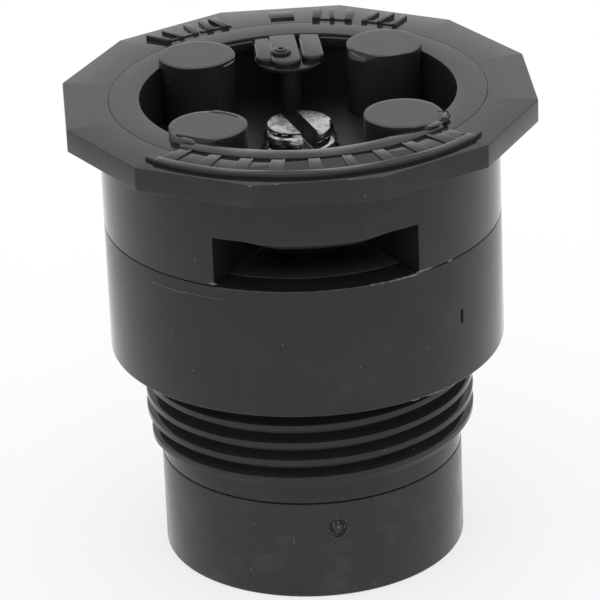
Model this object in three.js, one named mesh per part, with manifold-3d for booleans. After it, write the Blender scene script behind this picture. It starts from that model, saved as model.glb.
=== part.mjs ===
// Screw-in spray nozzle for a pop-up sprinkler riser.
// Millimetres, +Z up along the nozzle's axis. The origin is the middle of the bottom face.
// The spray window looks towards -Y.

import * as THREE from 'three';
import { mergeVertices } from 'three/addons/utils/BufferGeometryUtils.js';
import Module from 'manifold-3d';

const wasm = await Module();
wasm.setup();

// ---- Driving dimensions ----

const ROUND = 60; // facets on the large turned shapes
const SMALL_ROUND = 32; // facets on posts, bores and the hub
const SCREW_ROUND = 24;

const FLANGE_TOP = 23.1;
const FLANGE_THICK = 1.13;
const FLANGE_FLATS = 22.0; // across flats
const FLANGE_SIDES = 12;
const SHELL_R = 9.46;
const SEAM_Z = 17.06;
const SHOULDER_Z = 10.65;
const SHOULDER_STEP_R = 7.96; // small step above the thread, so the shoulder face starts clear of it
const SHOULDER_STEP_HIGH = 0.06;

const WELL_R = 7.47;
const WELL_FLOOR_Z = 20.2;
const CHAMBER_ROOF_Z = 19.47; // also the top of the spray window
const HUB_R = 3.2;
const SPRAY_HALF_ANGLE = 30; // degrees either side of -Y
const WINDOW_RIB_HALF = 4; // degrees, half of each rib that closes the spray's sides

const POST_R = 1.81;
const POST_OFFSET = 4.5;
const POST_TOP = FLANGE_TOP + 0.46;

const BACK_BOSS_HALF = 1.68;
const BACK_BOSS_Y = 5.3; // middle of the boss's round end
const BACK_BOSS_THICK = 0.55;
const BACK_RIB_HALF = 0.5;
const BACK_RIB_Y = 4.6;

const RELIEF_HIGH = 0.25;
const RELIEF_SUNK = 0.2; // how far the relief and the posts reach into the plate
// Angles in degrees: step is from pocket to pocket, half is half of a pocket's or bar's width.
const GRIP = { inner: 7.75, outer: 10.4, from: -136, to: -44 };
const POCKETS = { inner: 8.7, outer: 10.1, count: 8, step: 10, half: 3.1 };
const BARS = { inner: 9.2, outer: 10.5, half: 1.2 };
const BARS_AT = [128, 123, 118, 113, 108, 90, 80, 75, 70, 65, 60, 55];

const THREAD_CREST_R = 7.91; // 5/8-28 UN, crests slightly truncated
const THREAD_ROOT_R = 7.35;
const THREAD_PITCH = 0.907;
const THREAD_CREST_WIDE = 0.26;
const THREAD_BASE_WIDE = 0.84;
const THREAD_START_Z = 6.41;
const THREAD_START_ANGLE = -164;
const THREAD_TURNS = 4.1;
const THREAD_ROWS_PER_PITCH = 8;
const THREAD_ROUND = 48;

const CUP_R = 7.9;
const CUP_FLOOR_Z = 12.2;
const NECK_R = 7.27;
const NECK_BORE_R = 5.9;
const COLLAR_R = 7.28;
const COLLAR_TOP = 4.97;
const COLLAR_BORE_R = 5.3;
const SCREEN_LEDGE_Z = 4.4;
const SCREEN_THICK = 0.35;
const SCREEN_PITCH = 1.15;
const SCREEN_HOLE = 0.8; // side of a square hole

const SCREW_R = 1.76; // M3.5 x 0.6
const SCREW_ROOT_R = 1.42;
const SCREW_PITCH = 0.6;
const SCREW_RIDGE_HALF = 0.25; // half of a ridge's height at its root, and at its crest
const SCREW_CREST_HALF = 0.05;
const SCREW_CHAMFER = 0.12;
const SCREW_TOP = 21.5;
const SCREW_THREAD_END = 12.0;
const SCREW_TIP_Z = 11.2;
const SCREW_TIP_R = 0.9;
const SLOT_WIDE = 0.8;
const SLOT_DEEP = 1.1;
const SLOT_TURN = 16; // degrees from -Y towards +X
const RUNNING_GAP = 0.04;
const SEAL_R = 2.6; // pocket for the seal round the screw
const SEAL_HIGH = 1.1;

const PLATE_BOTTOM = 15.6;
const DISC_R = 6.9;
const DISC_LOW = 14.35;
const DISC_HIGH = 15.25;
const SPOKE_LOW = 13.1;
const SPOKE_HIGH = 14.3;
const SPOKE_HALF = 5; // degrees
const SOCKET_HALF = 1.8; // square guide socket for the plug
const SOCKET_TOP = 13.3;
const SOCKET_BOTTOM = 8.6;
const PLUG_HALF = 1.75;
const PLUG_TOP = 11.9;
const PLUG_SHOULDER_Z = 9.9;
const PLUG_TIP_Z = 8.6;
const PLUG_CONE_R = 1.7;
const PLUG_TIP_R = 0.6;
const SEAT_TOP = 6.6;
const SEAT_THICK = 0.9;
const SEAT_WALL = 0.7;
const SEAT_HOLE_R = 1.2;

const FIT = 0.05; // clearance between pieces that are pushed together

// ---- Materials ----

const plastic = (color, roughness) =>
  new THREE.MeshStandardMaterial({ color, roughness, metalness: 0 });

const MATERIALS = {
  nozzle_cap: plastic(0x1b1c1e, 0.32),
  nozzle_base: plastic(0x1a1b1d, 0.36),
  inlet_collar: plastic(0x232426, 0.55),
  orifice_plate: plastic(0x202124, 0.4),
  disc_retainer: plastic(0x2c2e31, 0.45),
  throttle_seat: plastic(0x2a2b2e, 0.45),
  throttle_plug: plastic(0xd9d6cc, 0.4),
  compensating_disc: plastic(0x3a2420, 0.75),
  screw_seal: plastic(0x161616, 0.7),
  inlet_screen: new THREE.MeshStandardMaterial({ color: 0x8c9094, roughness: 0.4, metalness: 0.8 }),
  adjusting_screw: new THREE.MeshStandardMaterial({ color: 0xc9cbcd, roughness: 0.22, metalness: 1 }),
};

// ---- Geometry helpers ----

const rad = (degrees) => (degrees * Math.PI) / 180;

// A closed solid from a three.js geometry: shared corners merged, empty triangles dropped.
function solidOf(geometry) {
  const bare = geometry.clone();
  bare.deleteAttribute('normal');
  bare.deleteAttribute('uv');
  const merged = mergeVertices(bare, 1e-5);
  const index = merged.index.array;
  const triangles = [];
  for (let i = 0; i < index.length; i += 3) {
    const [a, b, c] = [index[i], index[i + 1], index[i + 2]];
    if (a !== b && b !== c && c !== a) triangles.push(a, b, c);
  }
  const mesh = new wasm.Mesh({
    numProp: 3,
    vertProperties: new Float32Array(merged.attributes.position.array),
    triVerts: new Uint32Array(triangles),
  });
  return new wasm.Manifold(mesh);
}

function geometryOf(solid) {
  const mesh = solid.getMesh();
  const geometry = new THREE.BufferGeometry();
  geometry.setAttribute('position', new THREE.BufferAttribute(mesh.vertProperties.slice(), 3));
  geometry.setIndex(new THREE.BufferAttribute(mesh.triVerts.slice(), 1));
  const flat = geometry.toNonIndexed();
  flat.computeVertexNormals();
  return flat;
}

// Turned solid about +Z. The profile is a list of [radius, height], anticlockwise with radius
// to the right, and it closes on itself or on the axis. radiusAt may change a point's radius.
function turned(profile, facets = ROUND, radiusAt = null) {
  const points = profile.map(([r, z]) => new THREE.Vector2(r, z));
  const first = profile[0];
  const last = profile[profile.length - 1];
  if (first[0] > 0 || last[0] > 0) points.push(new THREE.Vector2(first[0], first[1]));
  const geometry = new THREE.LatheGeometry(points, facets);
  geometry.rotateX(Math.PI / 2);
  if (radiusAt) {
    const position = geometry.attributes.position;
    for (let i = 0; i < position.count; i += 1) {
      const [x, y, z] = [position.getX(i), position.getY(i), position.getZ(i)];
      const scale = radiusAt(Math.hypot(x, y), z, Math.atan2(y, x)) / Math.hypot(x, y);
      position.setXY(i, x * scale, y * scale);
    }
  }
  return solidOf(geometry);
}

const disc = (r, low, high, facets = ROUND) => turned([[0, low], [r, low], [r, high], [0, high]], facets);

const ring = (inner, outer, low, high, facets = ROUND) =>
  turned([[inner, low], [outer, low], [outer, high], [inner, high]], facets);

function block(x0, x1, y0, y1, z0, z1) {
  const geometry = new THREE.BoxGeometry(x1 - x0, y1 - y0, z1 - z0);
  geometry.translate((x0 + x1) / 2, (y0 + y1) / 2, (z0 + z1) / 2);
  return solidOf(geometry);
}

function prism(shape, low, high, curveSegments = 12) {
  const settings = { depth: high - low, bevelEnabled: false, curveSegments };
  const geometry = new THREE.ExtrudeGeometry(shape, settings);
  geometry.translate(0, 0, low);
  return solidOf(geometry);
}

// Part of a flat ring between two angles, in degrees anticlockwise from +X.
function sector(inner, outer, fromAngle, toAngle, low, high, curveSegments = 16) {
  const shape = new THREE.Shape();
  shape.absarc(0, 0, outer, rad(fromAngle), rad(toAngle), false);
  shape.absarc(0, 0, inner, rad(toAngle), rad(fromAngle), true);
  return prism(shape, low, high, curveSegments);
}

const moved = (solid, x, y) => solid.translate([x, y, 0]);

// Height of a helical ridge above its root at an angle and height, from 0 to 1.
function ridgeShare(angle, z) {
  const around = (angle - rad(THREAD_START_ANGLE)) / (2 * Math.PI);
  const part = around - Math.floor(around);
  const turn = Math.round((z - THREAD_START_Z) / THREAD_PITCH - part) + part;
  if (turn < 0 || turn > THREAD_TURNS) return 0;
  const offCentre = Math.abs(z - THREAD_START_Z - turn * THREAD_PITCH);
  const slope = (THREAD_BASE_WIDE - THREAD_CREST_WIDE) / 2;
  const share = (THREAD_BASE_WIDE / 2 - offCentre) / slope;
  return Math.min(1, Math.max(0, share));
}

// ---- Nozzle cap ----

function flangePlate() {
  const circumradius = FLANGE_FLATS / 2 / Math.cos(Math.PI / FLANGE_SIDES);
  const shape = new THREE.Shape();
  for (let i = 0; i < FLANGE_SIDES; i += 1) {
    const angle = ((i + 0.5) * 2 * Math.PI) / FLANGE_SIDES;
    const corner = [circumradius * Math.cos(angle), circumradius * Math.sin(angle)];
    if (i === 0) shape.moveTo(...corner);
    else shape.lineTo(...corner);
  }
  shape.closePath();
  return prism(shape, FLANGE_TOP - FLANGE_THICK, FLANGE_TOP);
}

// A raised band with a row of pockets round the front of the flange, and three groups of
// short bars round its back.
function flangeRelief() {
  const top = FLANGE_TOP + RELIEF_HIGH;
  const sunk = FLANGE_TOP - RELIEF_SUNK;
  let band = sector(GRIP.inner, GRIP.outer, GRIP.from, GRIP.to, sunk, top, 24);
  for (let i = 0; i < POCKETS.count; i += 1) {
    const middle = (GRIP.from + GRIP.to) / 2 + (i - (POCKETS.count - 1) / 2) * POCKETS.step;
    const [from, to] = [middle - POCKETS.half, middle + POCKETS.half];
    band = band.subtract(sector(POCKETS.inner, POCKETS.outer, from, to, FLANGE_TOP, top + 1, 3));
  }
  const bars = BARS_AT.map((at) =>
    sector(BARS.inner, BARS.outer, at - BARS.half, at + BARS.half, sunk, top, 2));
  return [band, ...bars];
}

// A round-ended tongue that reaches from the back wall of the well towards its middle.
function tongue(half, endY, low, high) {
  const rootY = WELL_R + 0.4;
  const shape = new THREE.Shape();
  shape.moveTo(half, rootY);
  shape.lineTo(-half, rootY);
  shape.lineTo(-half, endY);
  shape.absarc(0, endY, half, Math.PI, 2 * Math.PI, false);
  shape.closePath();
  return prism(shape, low, high, 12);
}

function nozzleCap() {
  let cap = disc(SHELL_R, SEAM_Z, FLANGE_TOP - RELIEF_SUNK);
  cap = cap.add(flangePlate());
  cap = cap.subtract(disc(WELL_R, WELL_FLOOR_Z, FLANGE_TOP + 1));
  for (const x of [-POST_OFFSET, POST_OFFSET]) {
    for (const y of [-POST_OFFSET, POST_OFFSET]) {
      cap = cap.add(moved(disc(POST_R, WELL_FLOOR_Z - RELIEF_SUNK, POST_TOP, SMALL_ROUND), x, y));
    }
  }
  for (const relief of flangeRelief()) cap = cap.add(relief);

  const bossBottom = FLANGE_TOP - BACK_BOSS_THICK;
  cap = cap.add(tongue(BACK_BOSS_HALF, BACK_BOSS_Y, bossBottom, FLANGE_TOP));
  cap = cap.add(tongue(BACK_RIB_HALF, BACK_RIB_Y, WELL_FLOOR_Z - RELIEF_SUNK, FLANGE_TOP - RELIEF_SUNK));

  const below = SEAM_Z - 1;
  let chamber = ring(HUB_R, WELL_R, below, CHAMBER_ROOF_Z);
  for (const side of [-1, 1]) {
    const middle = -90 + side * (SPRAY_HALF_ANGLE + WINDOW_RIB_HALF);
    const [from, to] = [middle - WINDOW_RIB_HALF, middle + WINDOW_RIB_HALF];
    chamber = chamber.subtract(sector(HUB_R - 1, SHELL_R, from, to, below - 1, CHAMBER_ROOF_Z + 1, 4));
  }
  cap = cap.subtract(chamber);
  const windowFrom = -90 - SPRAY_HALF_ANGLE;
  const windowTo = -90 + SPRAY_HALF_ANGLE;
  cap = cap.subtract(sector(HUB_R + 1, SHELL_R + 1, windowFrom, windowTo, below, CHAMBER_ROOF_Z, 24));

  cap = cap.subtract(disc(SCREW_R + RUNNING_GAP, below, FLANGE_TOP, SMALL_ROUND));
  return cap.subtract(disc(SEAL_R, below, SEAM_Z + SEAL_HIGH, SMALL_ROUND));
}

// ---- Nozzle base ----

function nozzleBase() {
  const profile = [
    [NECK_BORE_R, COLLAR_TOP + FIT],
    [NECK_R, COLLAR_TOP + FIT],
  ];
  const threadLow = THREAD_START_Z - THREAD_PITCH / 2;
  const rowStep = THREAD_PITCH / THREAD_ROWS_PER_PITCH;
  profile.push([NECK_R, threadLow - (THREAD_ROOT_R - NECK_R)]);
  const threadHigh = SHOULDER_Z - SHOULDER_STEP_HIGH - rowStep / 2;
  for (let z = threadLow; z < threadHigh; z += rowStep) profile.push([THREAD_ROOT_R, z]);
  profile.push(
    [THREAD_ROOT_R, SHOULDER_Z - SHOULDER_STEP_HIGH],
    [SHOULDER_STEP_R, SHOULDER_Z - SHOULDER_STEP_HIGH],
    [SHOULDER_STEP_R, SHOULDER_Z],
    [SHELL_R, SHOULDER_Z],
    [SHELL_R, SEAM_Z - FIT],
    [CUP_R, SEAM_Z - FIT],
    [CUP_R, CUP_FLOOR_Z],
    [NECK_BORE_R, CUP_FLOOR_Z],
  );
  const depth = THREAD_CREST_R - THREAD_ROOT_R;
  return turned(profile, THREAD_ROUND, (r, z, angle) => {
    const onThread = Math.abs(r - THREAD_ROOT_R) < 0.01 && z > threadLow && z < threadHigh;
    return onThread ? r + depth * ridgeShare(angle, z) : r;
  });
}

// ---- Inlet end ----

function inletCollar() {
  return turned([
    [COLLAR_BORE_R, 0],
    [COLLAR_R, 0],
    [COLLAR_R, COLLAR_TOP],
    [NECK_BORE_R + FIT, COLLAR_TOP],
    [NECK_BORE_R + FIT, SCREEN_LEDGE_Z],
    [COLLAR_BORE_R, SCREEN_LEDGE_Z],
  ]);
}

function inletScreen() {
  const low = SCREEN_LEDGE_Z + FIT;
  const high = low + SCREEN_THICK;
  const hole = SCREEN_HOLE / 2;
  const count = Math.floor(COLLAR_BORE_R / SCREEN_PITCH); // holes either side of the middle
  let screen = disc(NECK_BORE_R - FIT, low, high, 48);
  for (let i = -count; i <= count; i += 1) {
    for (let j = -count; j <= count; j += 1) {
      const [x, y] = [i * SCREEN_PITCH, j * SCREEN_PITCH];
      if (Math.hypot(Math.abs(x) + hole, Math.abs(y) + hole) > COLLAR_BORE_R - 0.1) continue;
      screen = screen.subtract(block(x - hole, x + hole, y - hole, y + hole, low - 1, high + 1));
    }
  }
  return screen;
}

function throttleSeat() {
  const outer = NECK_BORE_R - FIT;
  const skirtBottom = SCREEN_LEDGE_Z + SCREEN_THICK + 2 * FIT;
  return turned([
    [SEAT_HOLE_R, SEAT_TOP - SEAT_THICK],
    [outer - SEAT_WALL, SEAT_TOP - SEAT_THICK],
    [outer - SEAT_WALL, skirtBottom],
    [outer, skirtBottom],
    [outer, SEAT_TOP],
    [SEAT_HOLE_R + SEAT_THICK / 3, SEAT_TOP],
    [SEAT_HOLE_R, SEAT_TOP - SEAT_THICK / 3],
  ], 48);
}

// ---- Flow control inside the cup ----

function orificePlate() {
  const top = SEAM_Z - FIT;
  let plate = disc(CUP_R - FIT, PLATE_BOTTOM, top);
  plate = plate.add(disc(HUB_R, SOCKET_BOTTOM, top - 0.3, SMALL_ROUND));
  plate = plate.subtract(disc(SCREW_R + RUNNING_GAP, 0, FLANGE_TOP, SMALL_ROUND));
  const socket = block(-SOCKET_HALF, SOCKET_HALF, -SOCKET_HALF, SOCKET_HALF, 0, SOCKET_TOP);
  plate = plate.subtract(socket);
  const from = -90 - SPRAY_HALF_ANGLE + 2;
  const to = -90 + SPRAY_HALF_ANGLE - 2;
  return plate.subtract(sector(HUB_R + 0.5, HUB_R + 2, from, to, PLATE_BOTTOM - 1, FLANGE_TOP, 10));
}

const compensatingDisc = () => ring(HUB_R + 0.2, DISC_R, DISC_LOW, DISC_HIGH, 48);

function discRetainer() {
  const outer = CUP_R - FIT;
  const low = CUP_FLOOR_Z + FIT;
  let retainer = ring(outer - 0.8, outer, low, PLATE_BOTTOM - FIT);
  retainer = retainer.add(ring(HUB_R + 0.15, HUB_R + 0.9, SPOKE_LOW, SPOKE_HIGH, 48));
  const spokes = 6;
  for (let i = 0; i < spokes; i += 1) {
    const middle = (i * 360) / spokes;
    const [from, to] = [middle - SPOKE_HALF, middle + SPOKE_HALF];
    retainer = retainer.add(sector(HUB_R + 0.5, outer - 0.4, from, to, SPOKE_LOW, SPOKE_HIGH, 3));
  }
  return retainer;
}

function screwSeal() {
  return ring(SCREW_R + RUNNING_GAP, SEAL_R - FIT, SEAM_Z + FIT, SEAM_Z + SEAL_HIGH - 2 * FIT, SMALL_ROUND);
}

// ---- Moving pieces ----

function adjustingScrew() {
  const profile = [
    [0, SCREW_TIP_Z],
    [SCREW_TIP_R, SCREW_TIP_Z],
    [SCREW_TIP_R, SCREW_THREAD_END],
    [SCREW_ROOT_R, SCREW_THREAD_END],
  ];
  const ridges = Math.floor((SCREW_TOP - SCREW_THREAD_END) / SCREW_PITCH);
  for (let i = 0; i < ridges; i += 1) {
    const middle = SCREW_THREAD_END + (i + 0.5) * SCREW_PITCH;
    profile.push([SCREW_ROOT_R, middle - SCREW_RIDGE_HALF], [SCREW_R, middle - SCREW_CREST_HALF]);
    profile.push([SCREW_R, middle + SCREW_CREST_HALF], [SCREW_ROOT_R, middle + SCREW_RIDGE_HALF]);
  }
  const edge = SCREW_ROOT_R - SCREW_CHAMFER;
  profile.push([SCREW_ROOT_R, SCREW_TOP - SCREW_CHAMFER], [edge, SCREW_TOP], [0, SCREW_TOP]);
  const halfSlot = SLOT_WIDE / 2;
  const slot = block(-halfSlot, halfSlot, -3, 3, SCREW_TOP - SLOT_DEEP, SCREW_TOP + 1);
  return turned(profile, SCREW_ROUND).subtract(slot.rotate([0, 0, SLOT_TURN]));
}

function throttlePlug() {
  let plug = block(-PLUG_HALF, PLUG_HALF, -PLUG_HALF, PLUG_HALF, PLUG_SHOULDER_Z, PLUG_TOP);
  const cone = turned([
    [0, PLUG_TIP_Z],
    [PLUG_TIP_R, PLUG_TIP_Z],
    [PLUG_CONE_R, PLUG_SHOULDER_Z],
    [PLUG_CONE_R, PLUG_SHOULDER_Z + 0.2],
    [0, PLUG_SHOULDER_Z + 0.2],
  ], SMALL_ROUND);
  plug = plug.add(cone);
  return plug.subtract(disc(SCREW_TIP_R + 0.1, SCREW_TIP_Z - 0.3, PLUG_TOP + 1, 24));
}

// ---- Assembly ----

const PIECES = {
  nozzle_cap: nozzleCap,
  nozzle_base: nozzleBase,
  inlet_collar: inletCollar,
  inlet_screen: inletScreen,
  throttle_seat: throttleSeat,
  orifice_plate: orificePlate,
  compensating_disc: compensatingDisc,
  disc_retainer: discRetainer,
  screw_seal: screwSeal,
  adjusting_screw: adjustingScrew,
  throttle_plug: throttlePlug,
};

const nozzle = new THREE.Group();
for (const [name, make] of Object.entries(PIECES)) {
  const mesh = new THREE.Mesh(geometryOf(make()), MATERIALS[name]);
  mesh.name = name;
  nozzle.add(mesh);
}

export default nozzle;
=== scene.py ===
"""Looks of the screw-in spray nozzle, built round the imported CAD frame.

Lengths below are millimetres and angles degrees; the scene is in metres.
"""

import math
import random

import bmesh
import bpy
from mathutils import Matrix, Vector, noise

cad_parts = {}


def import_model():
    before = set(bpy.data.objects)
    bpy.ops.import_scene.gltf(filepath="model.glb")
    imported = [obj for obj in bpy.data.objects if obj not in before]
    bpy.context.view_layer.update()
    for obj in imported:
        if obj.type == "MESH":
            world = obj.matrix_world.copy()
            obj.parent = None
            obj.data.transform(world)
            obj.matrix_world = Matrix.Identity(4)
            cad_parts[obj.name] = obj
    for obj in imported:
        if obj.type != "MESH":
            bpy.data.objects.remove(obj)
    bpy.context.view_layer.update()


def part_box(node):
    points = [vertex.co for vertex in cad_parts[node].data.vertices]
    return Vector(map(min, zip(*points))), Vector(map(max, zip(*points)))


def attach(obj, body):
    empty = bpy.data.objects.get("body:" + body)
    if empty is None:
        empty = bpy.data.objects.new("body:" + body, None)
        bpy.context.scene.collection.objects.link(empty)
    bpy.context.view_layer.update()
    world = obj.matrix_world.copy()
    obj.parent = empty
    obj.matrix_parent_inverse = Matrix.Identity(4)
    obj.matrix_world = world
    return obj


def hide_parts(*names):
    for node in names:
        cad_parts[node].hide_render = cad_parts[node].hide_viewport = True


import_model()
MM = 0.001
TAU = 2 * math.pi

# ---- Driving dimensions ----

FLANGE_TOP = 23.1
FLANGE_BOTTOM = 21.97
FLANGE_SIDES = 12
FLANGE_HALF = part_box("nozzle_cap")[1].x / MM
SHELL_R = 9.46
SEAM_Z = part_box("nozzle_cap")[0].z / MM
SEAM_GAP = 0.05
SHOULDER_Z = 10.65
WELL_R = 7.47
WELL_FLOOR = 20.2
ROOF_Z = 19.47
HUB_R = 3.2
WINDOW_HALF = 30
WEB_HALF = 4
RING_GROOVE_R = 8.92
RING_GROOVE_HALF = 0.008
POST_R = 1.81
POST_OFFSET = 4.5
POST_TRIM = 0.07  # the knife leaves the posts this far under their burrs
POST_ROWS = (1.36, 0.96, 0.66, 0.46, 0.31, 0.21, 0.13)  # rows of points, down from the top
POST_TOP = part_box("nozzle_cap")[1].z / MM
BOSS_HALF = 1.68
BOSS_Y = 5.3
BOSS_THICK = 0.55
# Each lobe's middle, half width, front end and drop under the flange's top
BOSS_LOBES = ((-1.1, 0.54, 4.95, 0.06), (-0.22, 0.7, 4.42, 0.02), (1.1, 0.54, 4.85, 0.03))
BUTTON_X, BUTTON_Y = -0.42, 5.1
RIB_HALF = 0.5
RIB_Y = 4.6
RELIEF_HIGH = 0.25
BAND_INNER, BAND_OUTER, BAND_START, BAND_END = 7.75, 10.58, -133, -44
POCKET_INNER, POCKET_OUTER, POCKET_STEP, POCKET_HALF, POCKETS = 8.7, 10.1, 10, 3.1, 8
POCKET_DEEP = 0.09
BAR_INNER, BAR_OUTER, BAR_HALF = 9.2, 10.5, 0.85
BAR_HIGH = (0.11, 0.2)
BARS_AT = (128, 123, 118, 113, 108, 80, 75, 70, 65, 60, 55)

THREAD_CREST_R = 7.91
THREAD_ROOT_R = 7.35
THREAD_PITCH = 0.907
THREAD_CREST_HALF = 0.13
THREAD_BASE_HALF = 0.42
THREAD_START_Z = 6.307
THREAD_START_ANGLE = -205
THREAD_TURNS = 4.214
NECK_R = 7.27
CUP_R = 7.9
CUP_FLOOR = 12.2
NECK_BORE_R = 5.9
COLLAR_R = 7.28
COLLAR_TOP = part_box("inlet_collar")[1].z / MM
COLLAR_BORE_R = 5.3
SCREEN_LEDGE_Z = 4.4

SCREW_R = 1.76
SCREW_ROOT_R = 1.36
SCREW_PITCH = 0.6
SCREW_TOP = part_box("adjusting_screw")[1].z / MM
SCREW_THREAD_END = 12.0
SCREW_TIP_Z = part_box("adjusting_screw")[0].z / MM
SCREW_TIP_R = 0.9
SLOT_WIDE = 0.8
SLOT_DEEP = 1.1
SLOT_TURN = 16
RUNNING_GAP = 0.04
SEAL_R = 2.6
SEAL_TOP = 18.16

PLATE_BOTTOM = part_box("compensating_disc")[1].z / MM + 0.35
SOCKET_TOP = 13.3
SOCKET_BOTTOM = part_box("orifice_plate")[0].z / MM
PLUG_HALF = 1.75
PLUG_PLAY = 0.1
PLUG_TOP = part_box("throttle_plug")[1].z / MM
PLUG_SHOULDER_Z = 9.9
PLUG_TIP_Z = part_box("throttle_plug")[0].z / MM
SEAT_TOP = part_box("throttle_seat")[1].z / MM
SEAT_THICK, SEAT_WALL, SEAT_HOLE_R = 0.9, 0.7, 1.2
SPOKE_LOW, SPOKE_HIGH, SPOKE_HALF = 13.1, 14.3, 5
DISC_R = 6.9
FIT = 0.05

# Marks of making and use
GATE_ANGLE, GATE_Z, GATE_R = -85.3, 3.64, 0.4
NICK_ANGLE, NICK_Z = -43.9, 13.99

PLASTIC_IOR = 1.37

# Camera: its turn, its distance from the middle of the flange's top, and its shift sideways and up
CAMERA_AZIMUTH, CAMERA_ELEVATION, CAMERA_ROLL = -3.57, 24.66, -2.34
CAMERA_AWAY, CAMERA_RIGHT, CAMERA_UP = 204.22, -0.304, -9.825
CAMERA_LENS = 260.66

# ---- Mesh helpers ----


def softened(outline, radius, steps=4, closed=True):
    """Outline with its corners rounded. A point's third value overrides the radius."""
    out = []
    count = len(outline)
    for i, point in enumerate(outline):
        here = Vector(point[:2])
        if not closed and i in (0, count - 1):
            out.append(here)
            continue
        size = point[2] if len(point) > 2 else radius
        before = Vector(outline[i - 1][:2]) - here
        after = Vector(outline[(i + 1) % count][:2]) - here
        size = min(size, before.length * 0.45, after.length * 0.45)
        if size < 1e-4:
            out.append(here)
            continue
        a = here + before.normalized() * size
        b = here + after.normalized() * size
        for k in range(steps + 1):
            t = k / steps
            out.append(a * (1 - t) ** 2 + here * 2 * t * (1 - t) + b * t * t)
    return out


def turned(bm, profile, segments=128, shape=None, closed=True):
    """Turned solid about Z. shape(r, z, angle) may move a point to another (r, z)."""
    rows = []
    for k in range(segments):
        angle = TAU * k / segments
        row = []
        for r, z in profile:
            if shape:
                r, z = shape(r, z, angle)
            row.append(bm.verts.new((r * math.cos(angle) * MM, r * math.sin(angle) * MM, z * MM)))
        rows.append(row)
    count = len(profile)
    for k in range(segments):
        a, b = rows[k], rows[(k + 1) % segments]
        for i in range(count if closed else count - 1):
            j = (i + 1) % count
            bm.faces.new((a[i], b[i], b[j], a[j]))


def join_rings(bm, rings):
    """Side faces between each ring of vertices and the next."""
    made = []
    for a, b in zip(rings, rings[1:]):
        for i in range(len(a)):
            j = (i + 1) % len(a)
            made.append(bm.faces.new((a[i], a[j], b[j], b[i])))
    return made


def rounding(edge, steps):
    """Quarter round as (rise, inset) pairs, from the flat face to the side."""
    turns = [k / steps * math.pi / 2 for k in range(steps + 1)]
    return [(edge * (1 - math.cos(t)), edge * (1 - math.sin(t))) for t in turns]


def slab(bm, outline, low, high, edge=0.05, steps=2):
    """Upright prism with a rounded top and bottom edge."""
    curve = rounding(edge, steps)
    profile = [(low + rise, inset) for rise, inset in curve]
    profile += [(high - rise, inset) for rise, inset in curve[::-1]]
    normals = inward(outline)
    rings = []
    for z, inset in profile:
        points = [Vector(p) + n * inset for p, n in zip(outline, normals)]
        rings.append([bm.verts.new((q.x * MM, q.y * MM, z * MM)) for q in points])
    bm.faces.new(rings[0][::-1])
    bm.faces.new(rings[-1])
    join_rings(bm, rings)


def inward(outline):
    """Inward offset direction at each corner of an anticlockwise outline, for a unit inset."""
    out = []
    count = len(outline)
    for i in range(count):
        here = Vector(outline[i])
        a = (here - Vector(outline[i - 1])).normalized()
        b = (Vector(outline[(i + 1) % count]) - here).normalized()
        na, nb = Vector((-a.y, a.x)), Vector((-b.y, b.x))
        mid = na + nb
        if mid.length < 1e-6:
            mid = na
        mid.normalize()
        out.append(mid / max(0.35, mid.dot(na)))
    return out


def polar(radius, degrees):
    return radius * math.cos(math.radians(degrees)), radius * math.sin(math.radians(degrees))


def arc(radius, start, end, steps, centre=(0, 0)):
    return [
        (centre[0] + radius * math.cos(math.radians(start + (end - start) * k / steps)),
         centre[1] + radius * math.sin(math.radians(start + (end - start) * k / steps)))
        for k in range(steps + 1)
    ]


def sector(inner, outer, start, end, steps=8):
    return arc(outer, start, end, steps) + arc(inner, end, start, steps)


def smooth_step(t):
    t = max(0.0, min(1.0, t))
    return t * t * (3 - 2 * t)


MERGE = 1e-7
NO_AREA = 1e-16


def shade(bm, sharp):
    """Outward normals, smooth faces and sharp edges above an angle in degrees."""
    bmesh.ops.recalc_face_normals(bm, faces=bm.faces)
    for face in bm.faces:
        face.smooth = True
    for edge in bm.edges:
        edge.smooth = edge.calc_face_angle(0) < math.radians(sharp)


def extend(obj, build, sharp=38):
    """Adds the shells made by build(bm) to a piece."""
    bm = bmesh.new()
    bm.from_mesh(obj.data)
    build(bm)
    shade(bm, sharp)
    bm.to_mesh(obj.data)
    bm.free()


def piece(name, bm, node, body="root", materials=(), sharp=38):
    """A finished piece from a bmesh: it replaces a CAD node and rides on that node's body."""
    bmesh.ops.remove_doubles(bm, verts=bm.verts, dist=MERGE)
    flat = [f for f in bm.faces if f.calc_area() < NO_AREA]
    bmesh.ops.delete(bm, geom=flat, context="FACES_ONLY")
    shade(bm, sharp)
    mesh = bpy.data.meshes.new(name)
    bm.to_mesh(mesh)
    bm.free()
    obj = bpy.data.objects.new(name, mesh)
    bpy.context.scene.collection.objects.link(obj)
    for material in materials:
        mesh.materials.append(material)
    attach(obj, body)
    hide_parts(node)
    return obj


def cut(obj, cutter_bm, material=None):
    """Boolean difference, applied. The cut faces may take a material of their own."""
    mesh = bpy.data.meshes.new("cutter")
    bmesh.ops.recalc_face_normals(cutter_bm, faces=cutter_bm.faces)
    cutter_bm.to_mesh(mesh)
    cutter_bm.free()
    if material:
        mesh.materials.append(material)
    cutter = bpy.data.objects.new("cutter", mesh)
    bpy.context.scene.collection.objects.link(cutter)
    modifier = obj.modifiers.new("cut", "BOOLEAN")
    modifier.operation = "DIFFERENCE"
    modifier.solver = "EXACT"
    modifier.material_mode = "TRANSFER" if material else "INDEX"
    modifier.object = cutter
    graph = bpy.context.evaluated_depsgraph_get()
    result = bpy.data.meshes.new_from_object(obj.evaluated_get(graph))
    obj.modifiers.clear()
    obj.data = result
    bpy.data.objects.remove(cutter)
    return obj


# ---- Materials ----


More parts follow.
